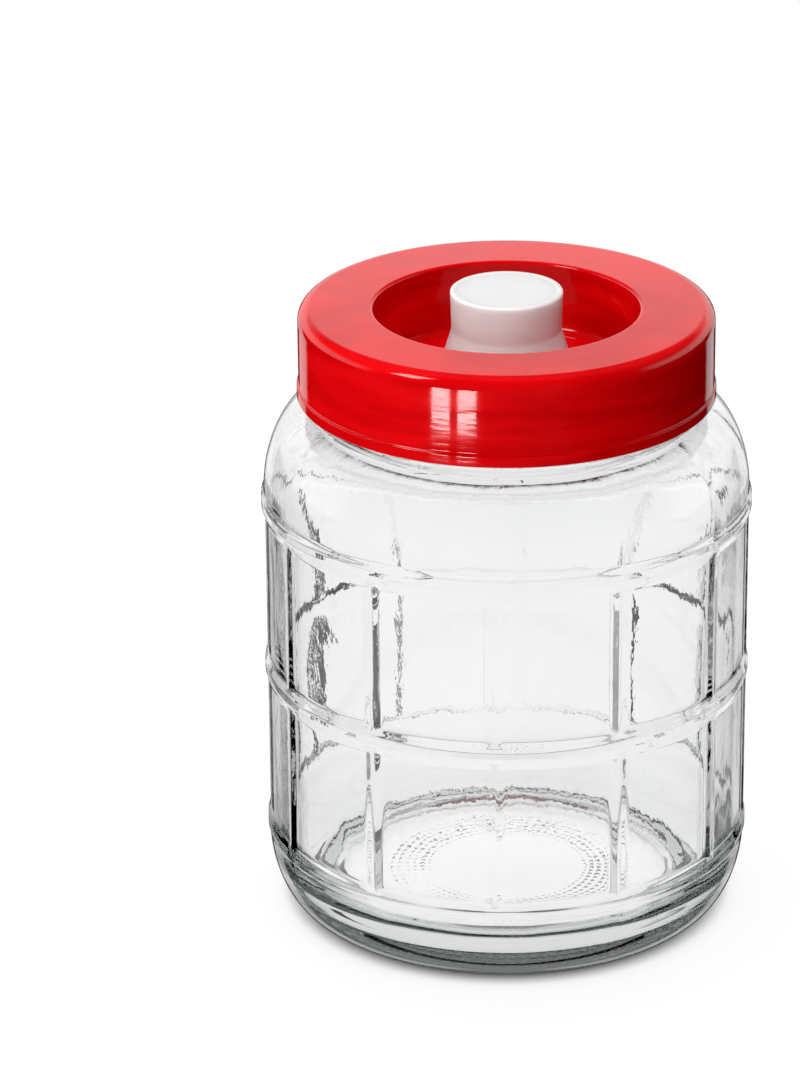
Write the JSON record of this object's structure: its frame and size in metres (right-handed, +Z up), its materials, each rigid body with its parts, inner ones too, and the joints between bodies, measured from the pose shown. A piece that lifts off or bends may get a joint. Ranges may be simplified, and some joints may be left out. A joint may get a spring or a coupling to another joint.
{
  "type": "glass demijohn",
  "caption": "Wide-mouthed clear glass demijohn with ribs and belts, closed by a red screw lid with a round well and a milky airlock bell over its post.",
  "frame": {"origin": "middle of the foot ring, on the surface that the demijohn stands on", "axes": "+Z up along the jar's axis, -Y towards the front, +X to the right seen from the front"},
  "size_m": [0.19, 0.19, 0.2516],
  "materials": {
    "glass": "clear pressed glass, glossy, colourless",
    "red_plastic": "high gloss moulded red plastic",
    "milky_plastic": "thin translucent white moulded plastic, slightly glossy"
  },
  "bodies": {
    "root": {"glass_jar": "glass", "screw_lid": "red_plastic", "airlock_bell": "milky_plastic"}
  },
  "joints": []
}
